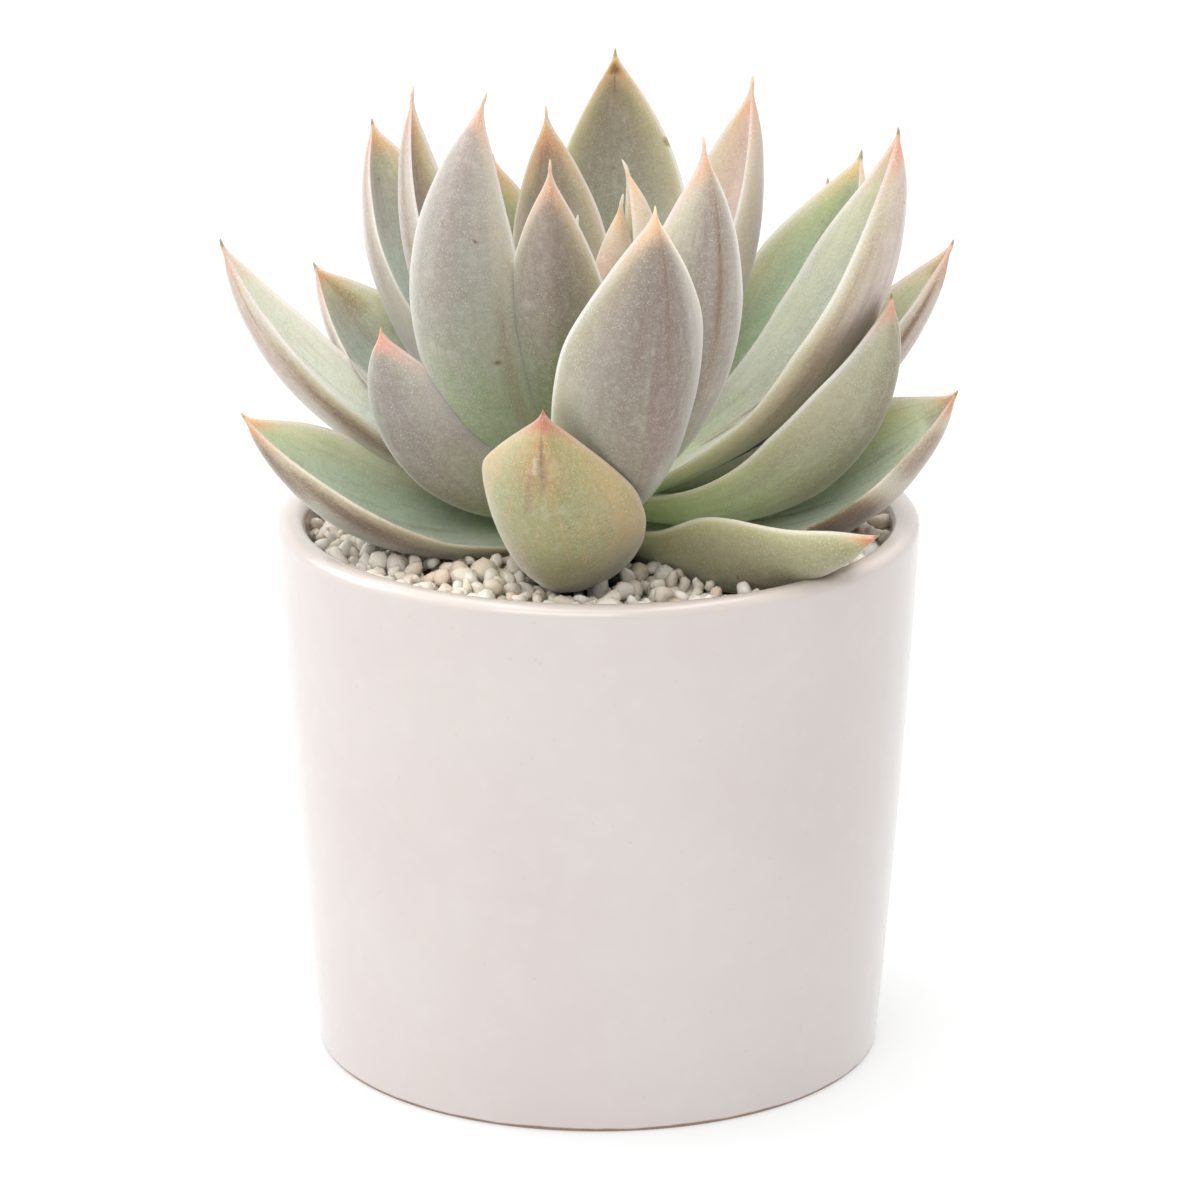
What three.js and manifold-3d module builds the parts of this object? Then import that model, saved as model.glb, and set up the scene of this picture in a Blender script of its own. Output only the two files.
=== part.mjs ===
// Potted succulent: a rosette of fleshy pointed leaves in a plain glazed pot, topped with white grit.
// Millimetres, +Z up. The origin is the centre of the pot's flat underside.
import * as THREE from 'three';
import { mergeVertices } from 'three/addons/utils/BufferGeometryUtils.js';
import Module from 'manifold-3d';

const wasm = await Module();
wasm.setup();

// ---------------------------------------------------------------- driving dimensions
const GAP = 0.3; // clearance between neighbouring pieces
const ROUND = 36; // flats around the pot, the soil and the grit
const STEM_ROUND = 12; // flats around the stem

const POT_HEIGHT = 95;
const POT_RIM_RADIUS = 55.2;
const POT_BASE_RADIUS = 48.6;
const POT_BOW = 0.5; // outward swell half-way up the wall
const POT_WALL = 4.8;
const POT_FLOOR = 6;
const RIM_ROUND = 2; // rounding on both edges of the rim
const FOOT_ROUND = 1;
const FLOOR_FILLET = 6; // inside corner between wall and floor
const WALL_STATIONS = [24, 48, 72]; // heights that shape the outer wall
const LINER_STATIONS = [30, 60]; // heights that shape the inner wall and the soil

const SOIL_TOP = 80;
const GRIT_TOP = 91;
const GRIT_SWELL = 0.7; // height of the grit's lumps above and below its mean level
const GRIT_RINGS = 8;

const STEM_X = -1; // the plant stands a little off the pot's axis
const STEM_BOTTOM = 70;
const STEM_TOP = 107;
const STEM_RADIUS = 2.5;
const STEM_FOOT_RADIUS = 4.5;
const STEM_FOOT_TOP = 84; // the thick foot ends here, buried in the grit
const STEM_WAIST = 92; // the stem is slim from here up
const STEM_CROWN = 2; // height of the rounded end

const LEAF_START = 3; // distance of a leaf's root from the stem's axis
const LEAF_ROOT_WIDTH = 0.42; // width at the root, as a share of the full width
const LEAF_THICKNESS = 0.24; // thickness, as a share of the full width
const LEAF_SIDES = 8; // corners of a leaf's cross-section
const LEAF_STATIONS = [0, 0.15, 0.32, 0.48, 0.63, 0.77, 0.89, 0.96];
const MIDLINE_STEPS = 24;

// Leaves of one age share where they leave the stem, where along the length they are widest, and how
// deep their channel is, as shares of the length and of the half-width.
const FAMILIES = {
  heart: { rootHeight: 108, widest: 0.54, cup: 0.26 },
  inner: { rootHeight: 102, widest: 0.50, cup: 0.32 },
  middle: { rootHeight: 100, widest: 0.62, cup: 0.32 },
  lower: { rootHeight: 99, widest: 0.66, cup: 0.32 },
  outer: { rootHeight: 94, widest: 0.62, cup: 0.28 },
};

// Leaves from the youngest, at the heart, to the oldest, resting on the grit. Angles in degrees:
// bearing around the stem, climb above level at the root and at the tip, sway of the bearing from
// root to tip, roll about the leaf's own length. Lengths and widths in millimetres.
const LEAVES = [
  // name, bearing, length, width, root climb, tip climb, sway, roll
  ['heart_1', 160, 30, 8, 85, 90, 0, 0],
  ['heart_2', 330, 25, 8, 85, 95, 0, 0],
  ['heart_3', 60, 30, 8, 85, 95, 0, 0],
  ['heart_4', 215, 40, 10, 85, 95, 0, 0],
  ['heart_5', 230, 43, 10, 105, 105, 0, 0],
  ['heart_6', 15, 50, 14, 65, 110, -10, 0],
  ['inner_1', 256, 70, 18, 40, 95, 0, 5],
  ['inner_2', 104, 64, 18, 50, 85, 10, -10],
  ['inner_3', 297, 82, 24, 25, 100, 5, 0],
  ['inner_4', 174, 75, 16, 40, 95, -10, -10],
  ['inner_5', 41, 74, 22, 40, 85, 0, -15],
  ['inner_6', 220, 85, 22, 20, 130, 20, 10],
  ['middle_1', 82, 84, 24, 20, 95, 10, 10],
  ['middle_2', 125, 60, 18, 40, 85, 0, 0],
  ['middle_3', 155, 74, 24, 30, 80, -15, 0],
  ['middle_4', 277, 90, 26, 10, 90, 10, 10],
  ['middle_5', 0, 84, 24, 20, 85, -5, 10],
  ['middle_6', 30, 76, 24, 15, 80, -10, 10],
  ['middle_7', 65, 60, 18, 5, 55, 0, 0],
  ['middle_8', 110, 60, 18, 5, 55, 0, 0],
  ['lower_1', 40, 75, 14, 0, 85, 0, 0],
  ['lower_2', 155, 62, 20, 10, 65, 20, -25],
  ['lower_3', 13, 76, 18, 5, 65, -10, 5],
  ['lower_4', 211, 55, 22, 0, 85, -10, 20],
  ['lower_5', 348, 68, 24, -10, 85, 10, -10],
  ['lower_6', 182, 80, 16, 5, 70, 10, -15],
  ['outer_1', 55, 60, 20, -5, 45, 0, 0],
  ['outer_2', 85, 60, 20, 0, 45, 0, 0],
  ['outer_3', 115, 60, 20, -5, 45, 0, 0],
  ['outer_4', 140, 60, 20, 0, 40, 0, 0],
  ['outer_5', 165, 45, 16, -5, 30, 0, 0],
  ['outer_6', 0, 68, 26, -10, 55, -15, 25],
  ['outer_7', 204, 67, 22, -5, 50, -10, -20],
  ['outer_8', 311, 65, 22, -5, 25, 10, -20],
  ['outer_9', 261, 66, 28, -10, 80, 0, -10],
].map(([name, bearing, length, width, rootClimb, tipClimb, sway, roll]) => ({
  ...FAMILIES[name.split('_')[0]],
  name,
  bearing,
  length,
  width,
  rootClimb,
  tipClimb,
  sway,
  roll,
}));

// ---------------------------------------------------------------- materials
const glaze = { color: 0xe3dad5, roughness: 0.25 };
const grit = { color: 0xe9e3d9, roughness: 0.8 };
const soil = { color: 0x3b2c22, roughness: 0.95 };
const stalk = { color: 0x8d8a62, roughness: 0.7 };
const youngLeaf = { color: 0xb3aaa2, roughness: 0.55 };
const oldLeaf = { color: 0x9fa98a, roughness: 0.55 };

// ---------------------------------------------------------------- solids
/** Closed geometry from a three.js geometry: shared corners merged, empty triangles dropped. */
function closed(geometry) {
  const bare = new THREE.BufferGeometry();
  bare.setAttribute('position', geometry.getAttribute('position'));
  bare.setIndex(geometry.getIndex());
  const merged = mergeVertices(bare, 1e-4);
  const index = merged.getIndex().array;
  const kept = [];
  for (let i = 0; i < index.length; i += 3) {
    const [a, b, c] = index.slice(i, i + 3);
    if (a !== b && b !== c && c !== a) kept.push(a, b, c);
  }
  merged.setIndex(kept);
  return merged;
}

/** Solid for joining and cutting, from a closed geometry. */
function toSolid(geometry) {
  const vertProperties = Float32Array.from(geometry.getAttribute('position').array);
  const triVerts = Uint32Array.from(geometry.getIndex().array);
  return new wasm.Manifold(new wasm.Mesh({ numProp: 3, vertProperties, triVerts }));
}

/** Geometry of a solid. */
function toGeometry(solidBody) {
  const mesh = solidBody.getMesh();
  const geometry = new THREE.BufferGeometry();
  geometry.setAttribute('position', new THREE.BufferAttribute(Float32Array.from(mesh.vertProperties), 3));
  geometry.setIndex(new THREE.BufferAttribute(Uint32Array.from(mesh.triVerts), 1));
  return geometry;
}

/** The largest piece of a cut solid; crumbs that the cut leaves behind are dropped. */
function largest(solidBody) {
  const pieces = solidBody.decompose();
  return pieces.reduce((best, piece) => (piece.volume() > best.volume() ? piece : best));
}

/** Body of revolution about +Z from [radius, height] pairs that run counter-clockwise. */
function revolve(profile, flats = ROUND) {
  const points = profile.map(([radius, height]) => new THREE.Vector2(Math.max(radius, 0), height));
  return closed(new THREE.LatheGeometry(points, flats).rotateX(Math.PI / 2));
}

/** Points of a quarter-round from one direction to another about a centre, in degrees. */
function arc(centreRadius, centreHeight, radius, from, to, steps) {
  const points = [];
  for (let i = 0; i <= steps; i += 1) {
    const angle = THREE.MathUtils.degToRad(from + ((to - from) * i) / steps);
    points.push([centreRadius + radius * Math.cos(angle), centreHeight + radius * Math.sin(angle)]);
  }
  return points;
}

// ---------------------------------------------------------------- pot, soil and grit
/** Radius of the pot's outer wall at a height. */
function outerRadius(height) {
  const share = height / POT_HEIGHT;
  const taper = POT_BASE_RADIUS + (POT_RIM_RADIUS - POT_BASE_RADIUS) * share;
  return taper + POT_BOW * 4 * share * (1 - share);
}

/** Radius of the pot's inner wall at a height. */
function innerRadius(height) {
  return outerRadius(height) - POT_WALL;
}

function potGeometry() {
  const shoulder = POT_HEIGHT - RIM_ROUND;
  const floorCorner = POT_FLOOR + FLOOR_FILLET;
  return revolve([
    [0, 0],
    ...arc(outerRadius(FOOT_ROUND) - FOOT_ROUND, FOOT_ROUND, FOOT_ROUND, -90, 0, 2),
    ...WALL_STATIONS.map((height) => [outerRadius(height), height]),
    ...arc(outerRadius(shoulder) - RIM_ROUND, shoulder, RIM_ROUND, 0, 90, 3),
    ...arc(innerRadius(shoulder) + RIM_ROUND, shoulder, RIM_ROUND, 90, 180, 3),
    ...LINER_STATIONS.map((height) => [innerRadius(height), height]).reverse(),
    ...arc(innerRadius(floorCorner) - FLOOR_FILLET, floorCorner, FLOOR_FILLET, 0, -90, 2),
    [0, POT_FLOOR],
  ]);
}

function soilGeometry() {
  const low = POT_FLOOR + FLOOR_FILLET;
  return revolve([
    [0, POT_FLOOR + GAP],
    [innerRadius(low) - FLOOR_FILLET, POT_FLOOR + GAP],
    [innerRadius(low) - GAP, low + GAP],
    ...LINER_STATIONS.map((height) => [innerRadius(height) - GAP, height]),
    [innerRadius(SOIL_TOP) - GAP, SOIL_TOP],
    [0, SOIL_TOP],
  ]);
}

/** Height of the grit's surface: three crossing waves make lumps a few grains wide. */
function gritHeight(x, y) {
  const lumps = Math.sin(x * 0.9) * Math.sin(y * 0.8) + Math.sin(x * 0.5 + y * 0.6 + 1);
  return GRIT_TOP + (GRIT_SWELL / 2) * lumps;
}

/** Bed of grit: a lumpy top on a flat underside, joined by a wall that follows the pot. */
function gritGeometry() {
  const underside = SOIL_TOP + GAP;
  const topRadius = innerRadius(GRIT_TOP) - GAP;
  const positions = [0, 0, gritHeight(0, 0)];
  for (let ring = 1; ring <= GRIT_RINGS; ring += 1) {
    for (let side = 0; side < ROUND; side += 1) {
      const angle = (side / ROUND) * 2 * Math.PI;
      const x = ((topRadius * ring) / GRIT_RINGS) * Math.cos(angle);
      const y = ((topRadius * ring) / GRIT_RINGS) * Math.sin(angle);
      positions.push(x, y, gritHeight(x, y));
    }
  }
  for (let side = 0; side < ROUND; side += 1) {
    const angle = (side / ROUND) * 2 * Math.PI;
    const radius = innerRadius(underside) - GAP;
    positions.push(radius * Math.cos(angle), radius * Math.sin(angle), underside);
  }
  positions.push(0, 0, underside);
  return skin(positions, GRIT_RINGS + 1, ROUND);
}

/** Closed skin over a first point, rings of points around it, and a last point. */
function skin(positions, rings, sides) {
  const last = rings * sides + 1;
  const index = [];
  for (let side = 0; side < sides; side += 1) {
    const next = (side + 1) % sides;
    index.push(0, 1 + side, 1 + next);
    for (let ring = 0; ring < rings - 1; ring += 1) {
      const near = 1 + ring * sides;
      const far = near + sides;
      index.push(near + side, far + side, far + next);
      index.push(near + side, far + next, near + next);
    }
    const rim = 1 + (rings - 1) * sides;
    index.push(rim + side, last, rim + next);
  }
  const geometry = new THREE.BufferGeometry();
  geometry.setAttribute('position', new THREE.Float32BufferAttribute(positions, 3));
  geometry.setIndex(index);
  return geometry;
}

// ---------------------------------------------------------------- stem
/** Upright stem, thick below the grit and slim among the leaves; grow makes its clearance. */
function stemGeometry(grow = 0) {
  const geometry = revolve([
    [0, STEM_BOTTOM - grow],
    [STEM_FOOT_RADIUS + grow, STEM_BOTTOM - grow],
    [STEM_FOOT_RADIUS + grow, STEM_FOOT_TOP],
    [STEM_RADIUS + grow, STEM_WAIST],
    [STEM_RADIUS + grow, STEM_TOP - STEM_CROWN],
    [STEM_RADIUS / 2 + grow, STEM_TOP - STEM_CROWN / 4 + grow],
    [0, STEM_TOP + grow],
  ], STEM_ROUND);
  return geometry.translate(STEM_X, 0, 0);
}

// ---------------------------------------------------------------- leaves
/** Unit directions of a leaf at share s of its length: along it, across it, and out of its top. */
function leafFrame(leaf, s) {
  const climb = THREE.MathUtils.degToRad(leaf.rootClimb + (leaf.tipClimb - leaf.rootClimb) * s);
  const bearing = THREE.MathUtils.degToRad(leaf.bearing + leaf.sway * s);
  const level = Math.cos(climb);
  const along = new THREE.Vector3(level * Math.cos(bearing), level * Math.sin(bearing), Math.sin(climb));
  const across = new THREE.Vector3(-Math.sin(bearing), Math.cos(bearing), 0);
  const roll = THREE.MathUtils.degToRad(leaf.roll);
  across.applyAxisAngle(along, roll);
  const above = new THREE.Vector3().crossVectors(along, across);
  return { along, across, above };
}

/** Point of a leaf's mid-line at share s of its length: the sum of short steps along it. */
function midlinePoint(leaf, s) {
  const bearing = THREE.MathUtils.degToRad(leaf.bearing);
  const point = new THREE.Vector3(
    STEM_X + LEAF_START * Math.cos(bearing),
    LEAF_START * Math.sin(bearing),
    leaf.rootHeight,
  );
  for (let step = 0; step < MIDLINE_STEPS; step += 1) {
    const middle = (s * (step + 0.5)) / MIDLINE_STEPS;
    point.addScaledVector(leafFrame(leaf, middle).along, (s * leaf.length) / MIDLINE_STEPS);
  }
  return point;
}

/** Half-width of a leaf at share s: a swelling rise from the root, then a taper to the point. */
function halfWidth(leaf, s) {
  const rise = Math.sin((Math.PI / 2) * Math.min(s / leaf.widest, 1)) ** 1.2;
  const beyond = Math.max((s - leaf.widest) / (1 - leaf.widest), 0);
  const taper = (1 - beyond ** 2.1) ** 1.25;
  return (leaf.width / 2) * (LEAF_ROOT_WIDTH + (1 - LEAF_ROOT_WIDTH) * rise) * taper;
}

/** Thickness of a leaf at share s: fullest before the middle, thin towards the point. */
function thickness(leaf, s) {
  const body = 0.75 + 0.25 * Math.sin(Math.PI * Math.min(s / 0.8, 1));
  const thinning = (1 - Math.max((s - 0.5) / 0.5, 0) ** 2.2) ** 0.8;
  return Math.min(leaf.width * LEAF_THICKNESS * body * thinning, 1.4 * halfWidth(leaf, s));
}

/** Corners of a leaf's cross-section at share s: a rounded keel below, a shallow channel above. */
function crossSection(leaf, s) {
  const half = halfWidth(leaf, s);
  const thick = thickness(leaf, s);
  const channel = 2 * leaf.cup * half * Math.min(2 * s, 1);
  const corners = [];
  for (let side = 0; side < LEAF_SIDES; side += 1) {
    const angle = (-side / LEAF_SIDES) * 2 * Math.PI;
    const x = Math.cos(angle);
    const bulge = Math.sin(angle) < 0 ? -0.85 * (1 - x * x) ** 0.6 : 0.15 * (1 - x * x);
    corners.push(new THREE.Vector2(half * x, bulge * thick + channel * (x * x - 0.35)));
  }
  return corners;
}

/** The same corners moved outwards by a distance, each along the mean of its two edges' normals. */
function swollen(corners, distance) {
  return corners.map((corner, i) => {
    const before = corners[(i + corners.length - 1) % corners.length];
    const after = corners[(i + 1) % corners.length];
    const arriving = corner.clone().sub(before).normalize();
    const leaving = after.clone().sub(corner).normalize();
    const travel = arriving.add(leaving).normalize();
    return new THREE.Vector2(corner.x - distance * travel.y, corner.y + distance * travel.x);
  });
}

/** Leaf as a closed skin over cross-sections along its mid-line; grow makes its clearance. */
function leafGeometry(leaf, grow = 0) {
  const root = midlinePoint(leaf, 0).addScaledVector(leafFrame(leaf, 0).along, -grow);
  const tip = midlinePoint(leaf, 1).addScaledVector(leafFrame(leaf, 1).along, 3 * grow);
  const positions = [...root.toArray()];
  for (const station of LEAF_STATIONS) {
    const centre = station === 0 ? root : midlinePoint(leaf, station);
    const { across, above } = leafFrame(leaf, station);
    for (const corner of swollen(crossSection(leaf, station), 1.2 * grow)) {
      const point = centre.clone();
      point.addScaledVector(across, corner.x);
      point.addScaledVector(above, corner.y);
      positions.push(...point.toArray());
    }
  }
  positions.push(...tip.toArray());
  return skin(positions, LEAF_STATIONS.length, LEAF_SIDES);
}

// ---------------------------------------------------------------- assembly
const plant = new THREE.Group();

function add(name, geometry, look) {
  const mesh = new THREE.Mesh(geometry, new THREE.MeshStandardMaterial({ ...look, metalness: 0 }));
  mesh.name = name;
  plant.add(mesh);
}

// Each leaf gives way to the stem and to every younger leaf, as crowded leaves do at their roots.
let occupied = toSolid(stemGeometry(GAP));
for (const leaf of LEAVES) {
  const body = largest(toSolid(leafGeometry(leaf)).subtract(occupied));
  occupied = occupied.add(toSolid(leafGeometry(leaf, GAP)));
  add(`leaf_${leaf.name}`, toGeometry(body), /outer|lower/.test(leaf.name) ? oldLeaf : youngLeaf);
}

add('pot', potGeometry(), glaze);
add('soil', toGeometry(largest(toSolid(soilGeometry()).subtract(occupied))), soil);
add('grit', toGeometry(largest(toSolid(gritGeometry()).subtract(occupied))), grit);
add('stem', stemGeometry(), stalk);

export default plant;
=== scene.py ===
# %% [markdown]
# # A potted succulent
# This lesson builds a rosette of fleshy leaves in a glazed pot topped with white grit. The solid
# part came first and is loaded here as a fixed frame: it says how large each piece is and where it
# is. Everything made below takes a piece's place and gives it the fine shape and the finish of
# the real one. Blender works in metres, so sizes are written in millimetres and multiplied by MM.

# %% The frame and its box
from collections import namedtuple
import math
import bpy
import numpy as np
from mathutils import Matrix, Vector
from mathutils.bvhtree import BVHTree


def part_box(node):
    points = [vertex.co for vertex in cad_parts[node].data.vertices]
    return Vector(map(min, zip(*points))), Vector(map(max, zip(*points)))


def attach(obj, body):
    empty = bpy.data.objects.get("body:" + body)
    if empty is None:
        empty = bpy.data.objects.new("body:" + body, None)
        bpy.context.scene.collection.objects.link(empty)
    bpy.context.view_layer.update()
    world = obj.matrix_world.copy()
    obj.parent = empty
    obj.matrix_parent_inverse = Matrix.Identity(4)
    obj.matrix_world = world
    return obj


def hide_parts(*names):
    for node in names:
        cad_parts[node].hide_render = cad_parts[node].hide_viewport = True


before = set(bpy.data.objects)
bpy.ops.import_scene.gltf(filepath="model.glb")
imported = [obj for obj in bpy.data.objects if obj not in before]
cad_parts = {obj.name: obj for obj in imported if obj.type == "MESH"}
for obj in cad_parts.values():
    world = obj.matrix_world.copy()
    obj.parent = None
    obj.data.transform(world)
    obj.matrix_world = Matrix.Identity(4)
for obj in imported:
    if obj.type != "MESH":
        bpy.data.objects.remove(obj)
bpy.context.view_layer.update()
MM = 0.001

# %% [markdown]
# ## Camera
# A long lens from more than a metre away keeps the pot's sides almost straight, as in a catalogue
# picture. It looks a little down, so the mouth of the pot shows as a slim ellipse.

# %% Camera
AIM = Vector((0.00025, 0.0, 0.079))
CAMERA_DISTANCE = 1.205
CAMERA_PITCH = math.radians(17.8)
LENS_MM = 210

camera = bpy.data.objects.new("camera", bpy.data.cameras.new("camera"))
bpy.context.scene.collection.objects.link(camera)
toward_camera = Vector((0.0, -math.cos(CAMERA_PITCH), math.sin(CAMERA_PITCH)))
camera.location = AIM + CAMERA_DISTANCE * toward_camera
camera.rotation_euler = (-toward_camera).to_track_quat("-Z", "Y").to_euler()
camera.data.lens = LENS_MM
camera.data.sensor_width = 36
camera.data.clip_start, camera.data.clip_end = 0.05, 20
bpy.context.scene.camera = camera
print("camera at", [round(c, 3) for c in camera.location])

# %% [markdown]
# ## Node helpers
# A material in Blender is a small network of nodes. The helpers keep the cells below short: they
# add a node and fill its inputs, do arithmetic, mix two colours, remap a number to a soft step, and
# make noise. A value that is a socket is linked, and says which network the new node belongs to;
# any other value is written into the input.

# %% Node helpers
def paint(red, green, blue):
    """Screen colour, 0 to 255, as the linear colour that nodes use: ((c + 0.055) / 1.055) ^ 2.4."""
    share = np.array([red, green, blue]) / 255
    linear = np.where(share < 0.04045, share / 12.92, ((share + 0.055) / 1.055) ** 2.4)
    return (*linear.tolist(), 1.0)


def fill(socket, value):
    """Link the input to a socket, or write a plain value into it."""
    if isinstance(value, bpy.types.NodeSocket):
        socket.id_data.links.new(value, socket)
    else:
        socket.default_value = value


def add(tree, kind, settings=None, inputs=None):
    """A node of the given kind, with its settings and its inputs by name or by number."""
    node = tree.nodes.new(kind)
    for name, value in (settings or {}).items():
        setattr(node, name, value)
    for name, value in (inputs or {}).items():
        fill(node.inputs[name], value)
    return node


def tree_of(*values):
    """The node tree of the first socket among the values."""
    return next(value.id_data for value in values if isinstance(value, bpy.types.NodeSocket))


def maths(operation, first, second=0.0, clamp=False):
    """One step of arithmetic on two numbers."""
    return add(tree_of(first, second), "ShaderNodeMath", {"operation": operation, "use_clamp": clamp},
               {0: first, 1: second}).outputs[0]


def plus(first, second):
    """The sum of two numbers."""
    return maths("ADD", first, second)


def times(first, second):
    """The product of two numbers."""
    return maths("MULTIPLY", first, second)


def mixed(factor, first, second, blend="MIX"):
    """Two colours mixed by a factor."""
    node = add(tree_of(factor, first, second), "ShaderNodeMix",
               {"data_type": "RGBA", "blend_type": blend}, {0: factor, 6: first, 7: second})
    return node.outputs[2]


def step(value, low, high, start=0.0, end=1.0):
    """A number remapped to a soft step: start below low, end above high."""
    node = add(value.id_data, "ShaderNodeMapRange", {"interpolation_type": "SMOOTHSTEP"},
               {0: value, 1: low, 2: high, 3: start, 4: end})
    return node.outputs[0]


def noise(where, scale, detail=2.0, roughness=0.5, distortion=0.0):
    """Smooth noise, about 0.5 on average, at so many waves for each metre or unit of where."""
    node = add(where.id_data, "ShaderNodeTexNoise", None,
               {"Vector": where, "Scale": scale, "Detail": detail, "Roughness": roughness,
                "Distortion": distortion})
    return node.outputs[0]


def object_place(tree):
    """Where the point being coloured lies, in the object's own coordinates."""
    return add(tree, "ShaderNodeTexCoord").outputs["Object"]


def new_group(name, inputs, outputs):
    """A node group and its two end nodes; each socket is (name, kind, default)."""
    group = bpy.data.node_groups.new(name, "ShaderNodeTree")
    for socket_name, kind, default in inputs:
        socket = group.interface.new_socket(socket_name, in_out="INPUT", socket_type="NodeSocket" + kind)
        if default is not None:
            socket.default_value = default
    for socket_name, kind in outputs:
        group.interface.new_socket(socket_name, in_out="OUTPUT", socket_type="NodeSocket" + kind)
    given = group.nodes.new("NodeGroupInput").outputs
    made = group.nodes.new("NodeGroupOutput").inputs
    return group, given, made


def use(tree, group, inputs):
    """A group placed in a tree with its own values; gives its outputs."""
    return add(tree, "ShaderNodeGroup", {"node_tree": group}, inputs).outputs


def new_material(name):
    """A material with its node tree and its Principled shader."""
    material = bpy.data.materials.new(name)
    material.use_nodes = True
    return material, material.node_tree, material.node_tree.nodes["Principled BSDF"]


def dress(shader, inputs, bump=None):
    """The shader's inputs by name; a bump is its strength, its depth in metres and its height."""
    for name, value in inputs.items():
        fill(shader.inputs[name], value)
    if bump:
        settings = dict(zip(("Strength", "Distance", "Height"), bump))
        fill(shader.inputs["Normal"], add(shader.id_data, "ShaderNodeBump", None, settings).outputs[0])


def refinish(node_name, material):
    """A solid of the frame that keeps its shape gets a material of its own."""
    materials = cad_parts[node_name].data.materials
    materials.clear()
    materials.append(material)


print("node helpers ready")

# %% [markdown]
# ## Mesh helpers
# Every new piece is a closed skin: rings of points with one point at each end. The points come
# as one array, and the faces follow from the size of the grid, so the mesh is made in one go.

# %% Mesh helpers
def skin_faces(rings, sides):
    """Quads between neighbouring rings and fans to the first and the last point."""
    ring, side = np.meshgrid(np.arange(rings - 1), np.arange(sides), indexing="ij")
    here, there = 1 + ring * sides + side, 1 + ring * sides + (side + 1) % sides
    quads = np.stack([here, here + sides, there + sides, there], -1).reshape(-1, 4)
    side = np.arange(sides)
    across = (side + 1) % sides
    first = np.stack([np.zeros_like(side), 1 + side, 1 + across], -1)
    rim, last = 1 + (rings - 1) * sides, rings * sides + 1
    final = np.stack([rim + side, np.full_like(side, last), rim + across], -1)
    return quads, np.concatenate([first, final])


def new_piece(name, points, quads, triangles, material):
    """An object of metres from millimetre points, riding on the part's only body."""
    mesh = bpy.data.meshes.new(name)
    mesh.vertices.add(len(points))
    mesh.vertices.foreach_set("co", (np.asarray(points) * MM).astype(np.float32).ravel())
    corners = np.concatenate([quads.ravel(), triangles.ravel()]).astype(np.int32)
    sizes = np.concatenate([np.full(len(quads), 4), np.full(len(triangles), 3)])
    mesh.loops.add(len(corners))
    mesh.loops.foreach_set("vertex_index", corners)
    mesh.polygons.add(len(sizes))
    mesh.polygons.foreach_set("loop_start", (np.cumsum(sizes) - sizes).astype(np.int32))
    mesh.polygons.foreach_set("use_smooth", np.full(len(sizes), True))
    mesh.update(calc_edges=True)
    mesh.validate()
    mesh.materials.append(material)
    piece = bpy.data.objects.new(name, mesh)
    bpy.context.scene.collection.objects.link(piece)
    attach(piece, "root")
    return piece


def put_value(piece, name, values):
    """One number for each vertex, for a material to read by its name."""
    layer = piece.data.attributes.new(name, "FLOAT", "POINT")
    layer.data.foreach_set("value", np.asarray(values, np.float32).ravel())


def circle(count):
    """Angles of so many points set evenly around a circle."""
    return np.linspace(0, 2 * np.pi, count, endpoint=False)


def smooth_step(value, low, high):
    """0 below low, 1 above high, and a soft rise of the form 3t^2 - 2t^3 between."""
    share = np.clip((value - low) / (high - low), 0, 1)
    return share * share * (3 - 2 * share)


print("mesh helpers ready")

# %% [markdown]
# ## The shape of a leaf
# A leaf grows out of the stem, leans out and curls up towards its tip. Its mid-line turns
# steadily from one climb to another; its cross-section is a rounded keel under a shallow channel,
# with blunt margins. The same rules and the same numbers as the solid part's are used, on a grid
# fine enough for a smooth skin, and the fine things are added: a drawn-out point, margins that
# wander, and a faint ridge along the keel.

# %% Leaf measures
STEM_X = -1.0
LEAF_START = 3.0
ROOT_WIDTH = 0.42
THICKNESS = 0.24
FINE_STEPS = 128
FINE_SIDES = 72

# leaves of one age share their root height in mm, where along the length they are widest, and how
# deep their channel is, as a share of the half-width
FAMILY_SHAPE = {
    "heart": (108, 0.54, 0.26),
    "inner": (102, 0.50, 0.32),
    "middle": (100, 0.62, 0.32),
    "lower": (99, 0.66, 0.32),
    "outer": (94, 0.62, 0.28),
}
Leaf = namedtuple(
    "Leaf", "name bearing length width root_climb tip_climb sway roll root_height widest cup")
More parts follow.
